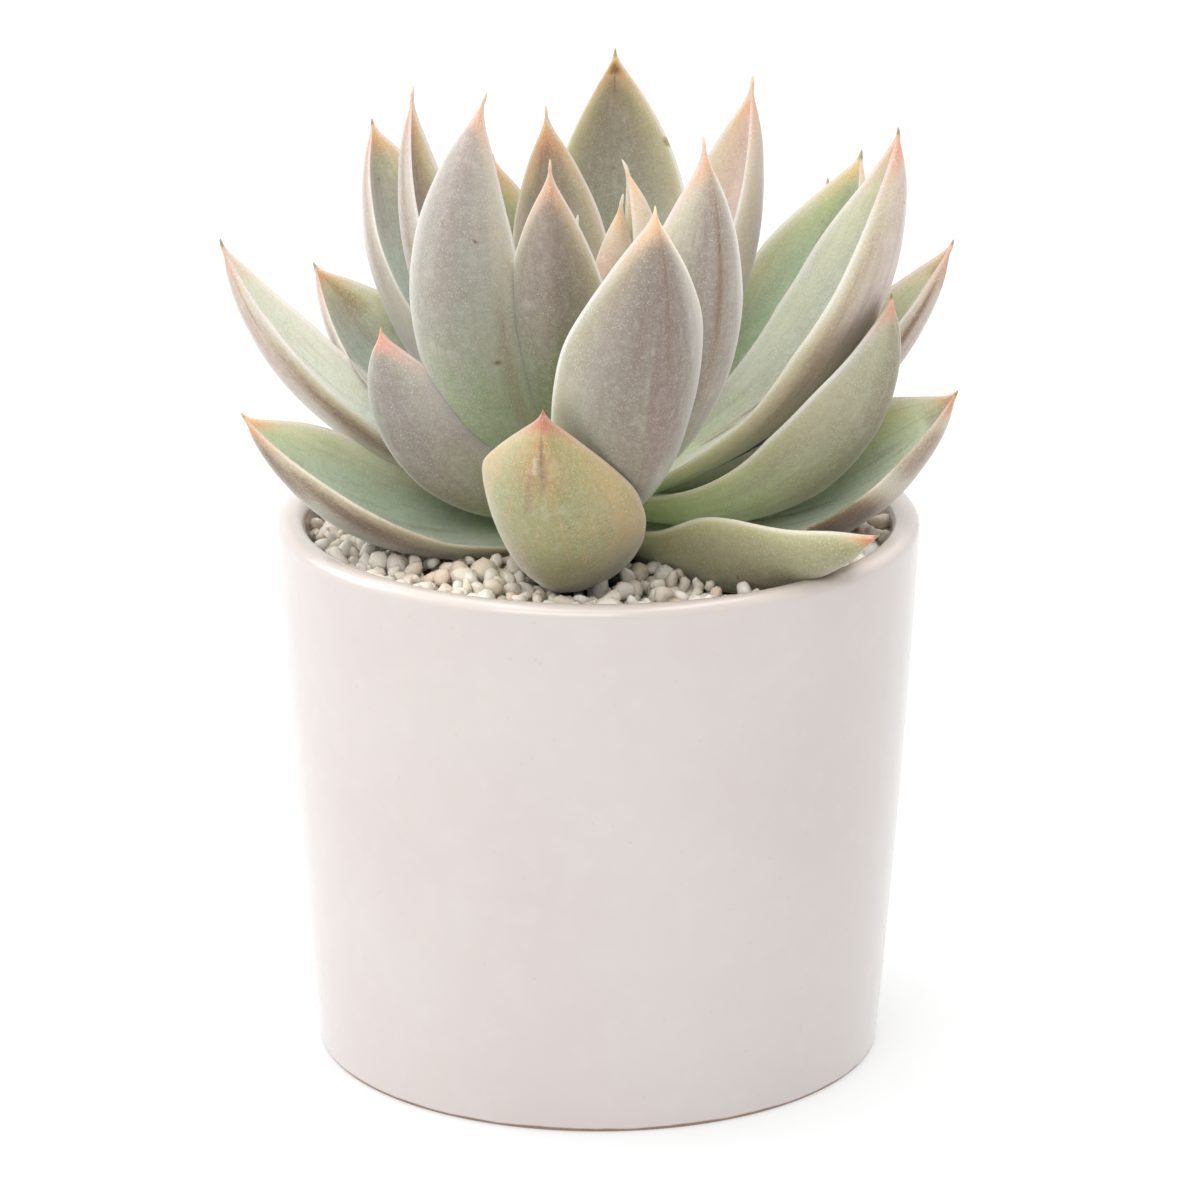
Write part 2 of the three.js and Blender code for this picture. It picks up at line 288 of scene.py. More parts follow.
# each leaf's own measures, in Leaf's order: angles in degrees, length and width in millimetres
LEAF_ROWS = [
    ("heart_1", 160, 30, 8, 85, 90, 0, 0),
    ("heart_2", 330, 25, 8, 85, 95, 0, 0),
    ("heart_3", 60, 30, 8, 85, 95, 0, 0),
    ("heart_4", 215, 40, 10, 85, 95, 0, 0),
    ("heart_5", 230, 43, 10, 105, 105, 0, 0),
    ("heart_6", 15, 50, 14, 65, 110, -10, 0),
    ("inner_1", 256, 70, 18, 40, 95, 0, 5),
    ("inner_2", 104, 64, 18, 50, 85, 10, -10),
    ("inner_3", 297, 82, 24, 25, 100, 5, 0),
    ("inner_4", 174, 75, 16, 40, 95, -10, -10),
    ("inner_5", 41, 74, 22, 40, 85, 0, -15),
    ("inner_6", 220, 85, 22, 20, 130, 20, 10),
    ("middle_1", 82, 84, 24, 20, 95, 10, 10),
    ("middle_2", 125, 60, 18, 40, 85, 0, 0),
    ("middle_3", 155, 74, 24, 30, 80, -15, 0),
    ("middle_4", 277, 90, 26, 10, 90, 10, 10),
    ("middle_5", 0, 84, 24, 20, 85, -5, 10),
    ("middle_6", 30, 76, 24, 15, 80, -10, 10),
    ("middle_7", 65, 60, 18, 5, 55, 0, 0),
    ("middle_8", 110, 60, 18, 5, 55, 0, 0),
    ("lower_1", 40, 75, 14, 0, 85, 0, 0),
    ("lower_2", 155, 62, 20, 10, 65, 20, -25),
    ("lower_3", 13, 76, 18, 5, 65, -10, 5),
    ("lower_4", 211, 55, 22, 0, 85, -10, 20),
    ("lower_5", 348, 68, 24, -10, 85, 10, -10),
    ("lower_6", 182, 80, 16, 5, 70, 10, -15),
    ("outer_1", 55, 60, 20, -5, 45, 0, 0),
    ("outer_2", 85, 60, 20, 0, 45, 0, 0),
    ("outer_3", 115, 60, 20, -5, 45, 0, 0),
    ("outer_4", 140, 60, 20, 0, 40, 0, 0),
    ("outer_5", 165, 45, 16, -5, 30, 0, 0),
    ("outer_6", 0, 68, 26, -10, 55, -15, 25),
    ("outer_7", 204, 67, 22, -5, 50, -10, -20),
    ("outer_8", 311, 65, 22, -5, 25, 10, -20),
    ("outer_9", 261, 66, 28, -10, 80, 0, -10),
]


def age_of(name):
    """The family that a leaf belongs to, from its name."""
    return name.split("_")[0]


LEAVES = [Leaf(*row, *FAMILY_SHAPE[age_of(row[0])]) for row in LEAF_ROWS]
# how much the width draws in at the point, and over what share of the length
POINTS = {"heart": (0.72, 0.10), "inner": (0.70, 0.075), "middle": (0.45, 0.045), "lower": (0.5, 0.05),
          "outer": (0.4, 0.045)}
print(len(LEAVES), "leaves")


# %% Leaf surface
def leaf_rules(leaf, s):
    """Half-width and thickness at shares s of the length, in millimetres.

    Half-width: a sine rise from the root, times a taper (1 - b^2.1)^1.25 beyond the widest place.
    Thickness: width times 0.24, a little fuller before the middle, thinning towards the point.
    """
    rise = np.sin(np.pi / 2 * np.minimum(s / leaf.widest, 1)) ** 1.2
    beyond = np.clip((s - leaf.widest) / (1 - leaf.widest), 0, 1)
    half = leaf.width / 2 * (ROOT_WIDTH + (1 - ROOT_WIDTH) * rise) * (1 - beyond ** 2.1) ** 1.25
    body = 0.75 + 0.25 * np.sin(np.pi * np.minimum(s / 0.8, 1))
    thinning = (1 - np.clip((s - 0.5) / 0.5, 0, 1) ** 2.2) ** 0.8
    return half, np.minimum(leaf.width * THICKNESS * body * thinning, 1.4 * half)


def leaf_midline(leaf, s):
    """Mid-line points and the directions along, across and above the leaf at shares s.

    The climb and the bearing turn evenly from root to tip; the points are the running sum of
    the direction along the leaf; across is level, then rolled about the leaf's own length.
    """
    climb = np.radians(leaf.root_climb + (leaf.tip_climb - leaf.root_climb) * s)
    turn = np.radians(leaf.bearing + leaf.sway * s)
    along = np.stack([np.cos(climb) * np.cos(turn), np.cos(climb) * np.sin(turn), np.sin(climb)], -1)
    level = np.stack([-np.sin(turn), np.cos(turn), 0 * turn], -1)
    upward = np.cross(along, level)
    roll = math.radians(leaf.roll)
    across = math.cos(roll) * level + math.sin(roll) * upward
    above = np.cross(along, across)
    gaps = np.diff(s)[:, None] * leaf.length
    middle = np.concatenate([np.zeros((1, 3)), np.cumsum(gaps * (along[1:] + along[:-1]) / 2, 0)])
    start = math.radians(leaf.bearing)
    root = [STEM_X + LEAF_START * math.cos(start), LEAF_START * math.sin(start), leaf.root_height]
    return np.array(root) + middle, along, across, above


def leaf_surface(leaf, wave, chance):
    """Grid of points of a leaf's skin, with the measures that its finish follows.

    Around the section, x = cos(t) runs across the leaf. Below, the skin is a keel of depth
    0.85 (1 - x^2)^0.6; above, it is a low crown 0.15 (1 - x^2), both times the thickness. The
    channel adds 2 cup half-width (x^2 - 0.35). Near the tip the width draws in to a spine.
    """
    s = 1 - (1 - np.linspace(0, 1, FINE_STEPS + 1)[:-1]) ** 1.25
    half, thick = leaf_rules(leaf, s)
    left = (1 - s) * leaf.length
    slimming, slim_share = POINTS[age_of(leaf.name)]
    drawn = 1 - slimming * np.exp(-(left / (slim_share * leaf.length)) ** 2)
    spine = 0.30 * np.sqrt(np.clip(left / 1.6, 0, 1)) * np.exp(-(left / 7) ** 2)
    half, thick = np.maximum(half * drawn, spine), np.maximum(thick * drawn, 2 * spine)
    middle, along, across, above = leaf_midline(leaf, s)
    t = -circle(FINE_SIDES)[None]
    x = np.cos(t)
    below = np.sin(t) < 0
    inside = np.clip(1 - x * x, 0, 1)
    s, half, thick, left = s[:, None], half[:, None], thick[:, None], left[:, None]
    bulge = np.where(below, -0.85 * inside ** 0.6, 0.15 * inside)
    rise = bulge * thick + 2 * leaf.cup * half * np.minimum(2 * s, 1) * (x * x - 0.35)
    free = smooth_step(s, 0.12, 0.4) * smooth_step(left, 2, 14)
    a, b, c = chance.uniform(0, 2 * np.pi, 3)
    amount, waves, phase = wave
    swell = amount * np.sin(2 * np.pi * (waves * s + phase))
    rise = rise + free * x ** 2 * np.where(x > 0, 1, 0.6) * swell
    rise = rise + free * 0.10 * np.abs(x) ** 3 * np.sin(17 * s + a + 1.5 * x)
    rise = rise - free * below * 0.05 * thick * np.exp(-(x / 0.16) ** 2)
    reach = half * x * (1 + free * (0.006 * np.sin(17 * s + b + 2 * x) + 0.004 * np.sin(41 * s + c)))
    points = middle[:, None] + reach[..., None] * across[:, None] + rise[..., None] * above[:, None]
    return points, s, x, below, left


print("a leaf grid has", FINE_STEPS, "rings of", FINE_SIDES)

# %% [markdown]
# ## The finish of a leaf
# These leaves wear a bloom: a thin whitish wax, finely speckled, that rubs off in places and
# shows greener or browner flesh. Strong light flushes the flesh mauve on the side that faces out
# and peach along the margins, and the point dries to straw or brown. Each of these is a mask
# worked out from where a spot lies on its leaf (how far along, how far from the margin, upper or
# lower side) broken up by noise. One group makes the whole skin, and each leaf's material places
# it with that leaf's own colours, so thirty-five leaves share one recipe.
# Towards the margins the leaves are also painted paler: partly their own pale margin, partly painted rim
# light and painted sheen.

# %% Bloom group
bloom, given, made = new_group(
    "waxy_bloom",
    [("Place", "Vector", None), ("Grain", "Float", 1.0)],
    [("Speckle", "Float"), ("Cloud", "Float"), ("Height", "Float")])
fine = noise(given["Place"], times(given["Grain"], 3300.0), 3, 0.65)
dust = add(bloom, "ShaderNodeTexVoronoi", {"feature": "F1"},
           {"Vector": given["Place"], "Scale": times(given["Grain"], 2600.0)})
grain = step(dust.outputs["Distance"], 0.16, 0.42, 1.0, 0.0)
fill(made["Speckle"], plus(times(fine, 0.86), times(grain, 0.14)))
fill(made["Cloud"], noise(given["Place"], 210.0, 4, 0.6, 0.4))
fill(made["Height"], plus(fine, times(grain, 0.5)))
print("group", bloom.name)

# %% Leaf skin group
MEASURES = {"Along": 0.5, "Across": 0.0, "Edge": 5.0, "Tip": 40.0, "Face": 0.0, "Brown": 0.0,
            "Flush": 0.0, "Pale": 0.0}
TINTS = ("Root", "Lower", "Upper", "Flush", "Margin", "Blush", "Point", "Wax")
skin, given, made = new_group(
    "leaf_skin",
    [(measure, "Float", usual) for measure, usual in MEASURES.items()]
    + [(tint + " Colour", "Color", None) for tint in TINTS]
    + [("Blush Length", "Float", 10.0), ("Point Length", "Float", 3.0), ("Green Length", "Float", 0.5),
       ("Seed", "Float", 0.0)],
    [("Colour", "Color"), ("Roughness", "Float"), ("Height", "Float")])
place = object_place(skin)
wax = use(skin, bloom, {"Place": place, "Grain": 1.0})


def leaf_grid(across, along):
    """A place on the leaf for noise, stretched across and along it and shifted by its seed."""
    return add(skin, "ShaderNodeCombineXYZ", None, {
        0: times(given["Across"], across), 1: times(given["Along"], along), 2: given["Seed"]}).outputs[0]


grid = leaf_grid(4.5, 1.6)
streak = noise(grid, 3.0, 4, 0.6)
patch = noise(grid, 1.3, 3, 0.6, 0.6)

# flesh: green at the root, then the colour of the side it is on
green = step(plus(given["Along"], times(patch, 0.22)), 0.16, plus(given["Green Length"], 0.14), 1.0, 0.0)
side = mixed(step(given["Face"], 0.2, 0.8), given["Lower Colour"], given["Upper Colour"])
flesh = mixed(green, side, given["Root Colour"])

# flush: painted where the leaf faces the light, broken into streaks and patches
broken = plus(times(streak, 0.55), times(patch, 0.45))
flushed = maths("MULTIPLY", given["Flush"], step(broken, 0.32, 0.62, 0.55, 1.0), True)
flesh = mixed(flushed, flesh, given["Flush Colour"])

# faint lengthwise stripes of the same tint all over the leaf
flesh = mixed(step(streak, 0.50, 0.70, 0.0, 0.30), flesh, given["Flush Colour"])

# olive shadows and pale clouds where the wax is thinner or thicker
thin = step(wax["Cloud"], 0.48, 0.78, 0.0, 0.24)
flesh = mixed(thin, flesh, (0.62, 0.62, 0.42, 1.0), "MULTIPLY")
thick = step(plus(wax["Cloud"], times(streak, 0.4)), 0.70, 0.36, 0.0, 0.22)
flesh = mixed(thick, flesh, (0.72, 0.72, 0.68, 1.0), "SCREEN")
mottle = noise(place, 760.0, 4, 0.66)
flesh = mixed(step(mottle, 0.44, 0.68, 0.0, 0.13), flesh, (0.60, 0.58, 0.46, 1.0), "MULTIPLY")
flesh = mixed(step(mottle, 0.32, 0.54, 0.10, 0.0), flesh, (0.62, 0.63, 0.60, 1.0), "SCREEN")

# painted sheen: a leaf is painted paler in its wax colour towards both margins than down its middle,
# standing in for the whitish sheen of the wax where the skin turns away
outward = maths("ABSOLUTE", given["Across"])
wavering = times(maths("SUBTRACT", patch, 0.5), 0.5)
painted_sheen_band = step(plus(outward, wavering), 0.35, 1.05, 0.0, 0.42)
flesh = mixed(painted_sheen_band, flesh, given["Wax Colour"])

# margin: a pale, slightly see-through line that reddens towards the point, inside a broader pale band;
# both are partly the leaf's own margin and partly painted rim light
reddening = step(given["Tip"], 2.0, times(given["Blush Length"], 3.2), 1.0, 0.0)
margin = mixed(reddening, given["Margin Colour"], given["Blush Colour"])
glow = step(plus(given["Edge"], times(patch, 1.6)), plus(0.6, reddening),
            plus(2.9, times(reddening, 2.4)), 1.0, 0.0)
warmth = plus(0.34, times(reddening, 0.30))
flesh = mixed(times(glow, warmth), flesh, margin)
line = step(given["Edge"], 0.30, 1.0, 1.0, 0.0)
flesh = mixed(times(line, 0.85), flesh, mixed(0.55, margin, given["Margin Colour"]))

# blush over the whole width near the point
blush = step(plus(given["Tip"], times(patch, 4.0)), 2.5, plus(given["Blush Length"], 3.0), 1.0, 0.0)
flesh = mixed(times(blush, 0.72), flesh, given["Blush Colour"])

# dry marks and rubbed places that are painted on this leaf, and on middle_5 a painted highlight along its
# channel
fibres = leaf_grid(22.0, 7.0)
torn = plus(times(noise(place, 1100.0, 4, 0.7), 0.55), times(noise(fibres, 2.0, 4, 0.65), 0.45))
ragged = maths("SUBTRACT", times(given["Brown"], 1.25), times(torn, 0.9))
dry = step(ragged, -0.30, 0.42)
flesh = mixed(times(dry, 0.74), flesh, paint(144, 120, 100))
crust = step(ragged, 0.16, 0.60)
flesh = mixed(times(crust, 0.66), flesh, paint(94, 74, 60))
flesh = mixed(times(given["Pale"], 0.8), flesh, paint(238, 238, 228))

# the fine white speckle over everything, then the dry point
clouded = step(wax["Cloud"], 0.38, 0.62, 0.06, 0.34)
speckled = times(step(wax["Speckle"], 0.46, 0.68), clouded)
flesh = mixed(speckled, flesh, (0.86, 0.86, 0.82, 1.0), "SCREEN")
pitted = step(wax["Speckle"], 0.30, 0.46, 0.16, 0.0)
flesh = mixed(pitted, flesh, (0.45, 0.42, 0.32, 1.0), "MULTIPLY")
point = step(given["Tip"], times(given["Point Length"], 0.45), given["Point Length"], 1.0, 0.0)
fill(made["Colour"], mixed(point, flesh, given["Point Colour"]))
fill(made["Roughness"], plus(step(wax["Cloud"], 0.35, 0.7, 0.62, 0.50), times(dry, 0.12)))
ridges = plus(times(streak, 0.5), times(dry, -0.8))
fill(made["Height"], plus(times(wax["Height"], 0.35), ridges))
print("group", skin.name)

# %% [markdown]
# ## Each leaf's own colours
# Young leaves are pale and mauve-grey with straw points; old ones are greener and stained, with
# brown points. A leaf starts from its family's colours, and changes what is its own. Marks are
# soft ovals painted on the skin: where along the leaf, where across it, how far they reach, how
# strong they are, and on which side they lie (B both, L lower, U upper).

# %% Leaf colours
# green is the share of the length that stays green at the root; reddening and dried are how far
# from the point the blush and the dry part reach, in mm
# margin is the colour of the pale margin, partly painted rim light; wax is the colour of the painted
# sheen towards both margins
FAMILY = {
    "heart": dict(root=(182, 192, 146), lower=(208, 192, 176), upper=(194, 192, 168),
        flush=(218, 186, 170), margin=(240, 232, 218), blush=(240, 184, 140), point=(236, 222, 194),
        reddening=6, dried=3.0),
    "inner": dict(root=(166, 182, 132), lower=(158, 156, 146), upper=(168, 164, 146),
        flush=(156, 138, 132), margin=(232, 228, 216), blush=(218, 158, 136), point=(222, 190, 146),
        reddening=8, dried=1.8),
    "middle": dict(root=(176, 196, 142), lower=(172, 170, 156), upper=(176, 184, 160),
        flush=(160, 142, 134), margin=(234, 230, 216), blush=(214, 152, 130), point=(112, 86, 62),
        reddening=7, dried=1.5),
    "lower": dict(root=(180, 196, 140), lower=(172, 166, 150), upper=(178, 188, 162),
        flush=(162, 142, 134), margin=(236, 228, 212), blush=(218, 140, 118), point=(104, 78, 54),
        reddening=6, dried=1.4),
    "outer": dict(root=(178, 194, 142), lower=(158, 152, 132), upper=(188, 200, 172),
        flush=(158, 140, 122), margin=(234, 224, 202), blush=(214, 122, 98), point=(98, 72, 50),
        reddening=5, dried=1.4),
}
LOOKS = {
    "inner_1": dict(lower=(130, 128, 112), root=(146, 160, 104), green=0.80, flush=(156, 138, 132),
        wax=(186, 176, 166)),
    "inner_2": dict(upper=(160, 164, 144), root=(160, 174, 138), green=0.7, flush=(160, 136, 122),
        blush=(216, 160, 138), reddening=10),
    "inner_3": dict(lower=(184, 182, 170), root=(196, 206, 172), green=0.7, flush=(148, 128, 120),
        wax=(214, 208, 196)),
    "inner_4": dict(lower=(180, 170, 164), upper=(172, 164, 154), blush=(204, 140, 130)),
    "inner_5": dict(lower=(182, 166, 158), upper=(204, 186, 176), root=(196, 192, 164),
        flush=(196, 170, 160), reddening=9, blush=(214, 146, 126)),
    "inner_6": dict(lower=(156, 158, 150), root=(164, 184, 134), flush=(166, 150, 145), green=0.78,
        wax=(206, 200, 190)),
    "middle_1": dict(upper=(160, 164, 142), root=(160, 174, 134), flush=(160, 144, 130), reddening=6,
        point=(150, 110, 70)),
    "middle_3": dict(upper=(188, 198, 184), lower=(184, 178, 166), point=(84, 66, 50)),
    "middle_4": dict(lower=(146, 142, 132), root=(152, 168, 126), green=0.92, flush=(140, 118, 112),
        blush=(232, 184, 154), point=(234, 206, 146), wax=(192, 188, 178)),
    "middle_5": dict(upper=(176, 182, 164), lower=(214, 200, 192), root=(214, 226, 190),
        blush=(216, 136, 120), dried=1.8, wax=(222, 222, 206)),
    "middle_6": dict(upper=(170, 190, 158), root=(208, 228, 178), blush=(226, 184, 148), dried=2.4,
        green=0.55),
    "lower_2": dict(upper=(196, 212, 200), lower=(196, 180, 170), blush=(206, 110, 92), reddening=4),
    "lower_3": dict(upper=(188, 198, 180), lower=(210, 198, 190)),
    "lower_4": dict(lower=(158, 156, 146), root=(160, 168, 112), green=0.8, flush=(150, 138, 136),
        blush=(230, 152, 134), reddening=4.6, point=(220, 140, 104), wax=(214, 204, 196)),
    "lower_5": dict(lower=(156, 154, 128), root=(212, 230, 176), green=0.72, flush=(156, 144, 124),
        blush=(222, 150, 124), reddening=3.6, wax=(206, 206, 182)),
    "lower_6": dict(lower=(200, 198, 190), upper=(214, 222, 214), blush=(206, 148, 136), dried=2.2,
        flush=(178, 154, 146)),
    "outer_6": dict(upper=(210, 224, 200), root=(194, 210, 172), lower=(190, 182, 166),
        blush=(206, 106, 88), reddening=3.2),
    "outer_7": dict(upper=(184, 200, 176), lower=(160, 164, 146), flush=(160, 152, 136),
        blush=(216, 144, 104), reddening=5, point=(176, 108, 64)),
    "outer_8": dict(lower=(156, 156, 122), root=(208, 218, 164), green=0.5, blush=(206, 96, 84),
        reddening=2.2, wax=(190, 190, 160)),
    "outer_9": dict(lower=(158, 156, 112), root=(196, 204, 158), green=0.5, margin=(226, 190, 150),
        blush=(190, 98, 100), flush=(210, 158, 114), reddening=3.0, point=(150, 88, 60), dried=1.2,
        wax=(184, 184, 142)),
}
# leaf: (kind, centre along, reach along, centre across, reach across, strength, side)
MARKS = {
    "inner_1": [("flush", .80, .26, 0, .75, .75, "L")],
    "inner_2": [("flush", .90, .22, 0, .9, .9, "B"), ("flush", .55, .4, -.95, .3, .9, "B"),
        ("flush", .55, .4, .95, .3, .9, "B")],
    "inner_3": [("flush", .62, .36, 0, .75, .8, "L"), ("brown", .74, .24, 0, .10, .62, "L")],
    "inner_4": [("brown", .70, .26, .72, .14, .5, "B"), ("flush", .8, .2, 0, .8, .5, "B")],
    "inner_5": [("brown", .66, .30, -.62, .14, .60, "U"), ("flush", .8, .3, 0, .6, .4, "B")],
    "inner_6": [("flush", .72, .26, -.05, .8, .6, "L"), ("brown", .44, .20, .80, .12, .42, "L"),
        ("flush", .90, .14, 0, 1, .8, "L"), ("brown", .86, .10, -.9, .14, .5, "L")],
    "middle_1": [("brown", .955, .016, 0, .8, .85, "U"), ("brown", .99, .012, 0, 1, .9, "U"),
        ("brown", .92, .025, 0, .10, .6, "U"), ("flush", .86, .2, 0, .9, .55, "U"),
        ("brown", .80, .012, -.97, .08, .9, "U")],
    "middle_3": [("brown", .80, .26, .86, .14, .55, "B"), ("brown", .62, .12, .7, .08, .5, "U"),
        ("flush", .9, .2, 0, .9, .45, "U"), ("brown", .78, .14, .2, .35, .30, "U")],
    "middle_4": [("flush", .60, .34, .1, .8, .9, "L"), ("flush", .62, .3, .25, .12, .9, "L"),
        ("brown", .85, .14, .1, .07, .62, "L"), ("brown", .70, .18, .22, .05, .45, "L"),
        ("flush", .45, .16, -.3, .2, .5, "L"), ("brown", .86, .1, -.8, .14, .34, "L"),
        ("pale", .42, .06, .3, .14, .25, "L")],
    # middle_5's long pale stripe on the upper side, along the channel, is a painted highlight
    "middle_5": [("brown", .34, .16, -.1, .14, .5, "U"), ("pale", .50, .34, -.62, .14, .75, "U"),
        ("brown", .66, .24, -.88, .10, .42, "B"), ("brown", .25, .05, -.3, .08, .8, "U"),
        ("brown", .33, .04, -.1, .10, .75, "U"), ("flush", .8, .3, -.9, .5, .7, "L"),
        ("brown", .45, .2, -.80, .1, .36, "B")],
    "middle_6": [("brown", .82, .12, .3, .3, .34, "U"), ("pale", .62, .02, .1, .25, .4, "U"),
        ("pale", .50, .02, -.2, .2, .4, "U")],
    "lower_2": [("brown", .62, .28, .84, .13, .85, "B"), ("brown", .72, .05, .62, .10, .9, "U"),
        ("flush", .85, .16, 0, 1, .5, "B"), ("brown", .88, .1, -.5, .3, .5, "U")],
    "lower_3": [("brown", .78, .16, -.80, .12, .75, "B"), ("flush", .8, .24, -.9, .6, .8, "L"),
        ("brown", .93, .05, 0, .9, .6, "B")],
    "lower_4": [("flush", .70, .30, .15, .7, .6, "L"), ("flush", .74, .3, .95, .22, .9, "B"),
        ("brown", .30, .2, -.35, .3, .32, "L")],
    "lower_5": [("flush", .66, .30, 0, .6, .6, "L"), ("flush", .64, .22, -.92, .2, .7, "B"),
        ("brown", .86, .11, .1, .09, .68, "L"), ("brown", .78, .12, .78, .14, .44, "L"),
        ("brown", .46, .18, .2, .5, .26, "L"), ("brown", .2, .02, -.3, .12, .8, "B")],
    "lower_6": [("brown", .48, .34, .84, .15, .62, "B"), ("flush", .80, .2, .6, .5, .8, "L"),
        ("brown", .86, .09, .78, .05, .55, "L"), ("brown", .82, .08, .5, .05, .4, "L"),
        ("flush", .46, .3, .8, .2, .8, "B")],
    "outer_6": [("brown", .74, .20, -.86, .20, .80, "U"), ("brown", .60, .14, -.8, .12, .75, "U"),
        ("brown", .92, .06, 0, .9, .55, "U"), ("pale", .80, .02, -.45, .05, .9, "U"),
        ("brown", .60, .12, -.85, .35, .85, "L"), ("brown", .84, .08, -.8, .4, .6, "L"),
        ("brown", .46, .14, -.1, .07, .45, "U")],
    "outer_7": [("brown", .66, .22, .84, .16, .75, "B"), ("brown", .84, .12, .6, .35, .7, "B"),
        ("flush", .7, .3, .9, .6, .7, "L"), ("brown", .42, .10, .2, .10, .5, "U"),
        ("brown", .5, .18, .8, .12, .6, "B")],
    "outer_8": [("brown", .50, .16, .70, .22, .66, "L"), ("brown", .80, .12, .3, .5, .60, "L"),
        ("brown", .30, .10, .72, .14, .6, "L"), ("brown", .62, .05, -.2, .5, .5, "L"),
        ("brown", .18, .05, .2, .3, .6, "L"), ("pale", .48, .16, .2, .1, .3, "L"),
        ("pale", .62, .05, .45, .16, .3, "L")],
    "outer_9": [("brown", .88, .08, .10, .12, .62, "L"), ("brown", .80, .08, -.14, .09, .5, "L"),
        ("flush", .70, .26, 1, .22, .9, "L"), ("flush", .74, .18, -1, .20, .8, "L"),
        ("flush", .90, .10, 0, .6, .5, "L"), ("pale", .87, .02, -.10, .04, .4, "L"),
        ("pale", .42, .012, .92, .05, .6, "L"), ("brown", .14, .1, 0, .9, .42, "L"),
        ("pale", .36, .010, .86, .05, .5, "L"), ("brown", .40, .16, .75, .2, .40, "L")],
}
SMALL_STAINS = 4


def family_of(name):
    """The family's colours with the leaf's own changes over them."""
    # wax, the colour of the painted sheen towards the margins, is the same for every leaf unless it has
    # its own
    look = dict(FAMILY[age_of(name)], green=0.34, wax=(204, 202, 190))
    look.update(LOOKS.get(name, {}))
    return look


print(len(LOOKS), "leaves have colours of their own,", len(MARKS), "have marks")


# %% Leaf marks and materials
def painted(marks, s, x, below):
    """The three painted masks: the strongest of the soft ovals of each kind.

    An oval is exp(-(ds / rs)^4 - (dx / rx)^2), times its strength, on the sides that it names.
    """
    masks = {kind: 0 * s * x for kind in ("brown", "flush", "pale")}
    for kind, at, reach, across, spread, strength, side in marks:
        oval = strength * np.exp(-(((s - at) / reach) ** 4) - ((x - across) / spread) ** 2)
        on = {"B": 1.0, "L": below * 1.0, "U": 1.0 - below}[side]
        masks[kind] = np.maximum(masks[kind], oval * on)
    return masks


def leaf_material(name, seed):
    """A leaf's own material: the shared skin with its colours, soft wax sheen and a little depth."""
    look = family_of(name)
    material, tree, shader = new_material("leaf_" + name)
    given = {measure: add(tree, "ShaderNodeAttribute", {"attribute_name": measure.lower()}).outputs["Fac"]
             for measure in MEASURES}
    given.update({tint + " Colour": paint(*look[tint.lower()]) for tint in TINTS})
    given.update({"Blush Length": float(look["reddening"]), "Point Length": float(look["dried"]),
                  "Green Length": look["green"], "Seed": float(seed)})
    out = use(tree, skin, given)
    dress(shader, {
        "Base Color": out["Colour"], "Roughness": out["Roughness"], "Specular IOR Level": 0.35,
        "Sheen Weight": 0.7, "Sheen Roughness": 0.35, "Subsurface Weight": 0.45,
        "Subsurface Radius": (1.0, 0.8, 0.4), "Subsurface Scale": 0.006}, (0.35, 0.00025, out["Height"]))
    return material


# a leaf's long waves: height in mm, how many, and where they start
WAVES = {"outer_8": (1.3, 1.75, 0.30), "outer_7": (0.5, 1.3, 0.2), "lower_5": (0.5, 1.2, 0.55),
         "outer_6": (0.5, 1.4, 0.1), "lower_6": (0.3, 1.6, 0.3)}
print("waves on", sorted(WAVES))

# %% Grow the leaves
USUAL_WAVE = (0.15, 1.5, 0.3)
USUAL_MARKS = [("flush", .66, .3, 0, .7, .55, "L")]
SEED_STEP = 3.7
leaf_pieces = []
for number, leaf in enumerate(LEAVES):
    name = leaf.name
    chance = np.random.default_rng(100 + number)
    points, s, x, below, left = leaf_surface(leaf, WAVES.get(name, USUAL_WAVE), chance)
    stains = [("brown", chance.uniform(.15, .9), chance.uniform(.003, .007), chance.uniform(-.8, .8),
               chance.uniform(.015, .04), chance.uniform(.6, 1), "B") for _ in range(SMALL_STAINS)]
    masks = painted(MARKS.get(name, USUAL_MARKS) + stains, s, x, below)
    steps = np.linalg.norm(np.roll(points, -1, 1) - points, axis=2)
    walked = np.concatenate([np.zeros((FINE_STEPS, 1)), np.cumsum(steps, 1)[:, :-1]], 1)
    around, half_way = steps.sum(1, keepdims=True), walked[:, FINE_SIDES // 2][:, None]
    edge = np.minimum(np.minimum(walked, around - walked), np.abs(walked - half_way))
    face = np.clip(0.5 - np.sin(circle(FINE_SIDES)[None]) * 2.5, 0, 1)
    start, end = points[0].mean(0), leaf_midline(leaf, np.linspace(0, 1, FINE_STEPS))[0][-1]
    quads, ends = skin_faces(FINE_STEPS, FINE_SIDES)
    piece = new_piece("skin_leaf_" + name, np.concatenate([[start], points.reshape(-1, 3), [end]]),
                      quads, ends, leaf_material(name, SEED_STEP * number))
    for label, grid, first, last in (
            ("along", s, 0, 1), ("across", x, 0, 0), ("edge", edge, 2, 0),
            ("tip", left, leaf.length, 0), ("face", face, 0.5, 0.5),
            *((kind, mask, 0, 0) for kind, mask in masks.items())):
        grid = np.broadcast_to(grid, edge.shape)
        put_value(piece, label, np.concatenate([[first], grid.ravel(), [last]]))
    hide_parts("leaf_" + name)
    leaf_pieces.append(piece)
    flat = points.reshape(-1, 3)
    low, high = (1000 * np.array(c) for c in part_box("leaf_" + name))
    print(name, "stands past its solid by at most",
          round(float(max((low - flat.min(0)).max(), (flat.max(0) - high).max())), 2), "mm")

# %% [markdown]
# ## The pot
# The pot is slip-cast and glazed. It is one profile spun about the axis: a slightly tapered wall
# with a hair of belly, a round rim, and an unglazed foot. Spinning a fine profile gives the clean
# highlight on the rim. The glaze is almost even: it pools a little, so its tone drifts by a few
# parts in a hundred, it breaks thin and warm on the rim's edges, and a bare brown line of clay
# shows at the foot, where the glaze was wiped away before firing.

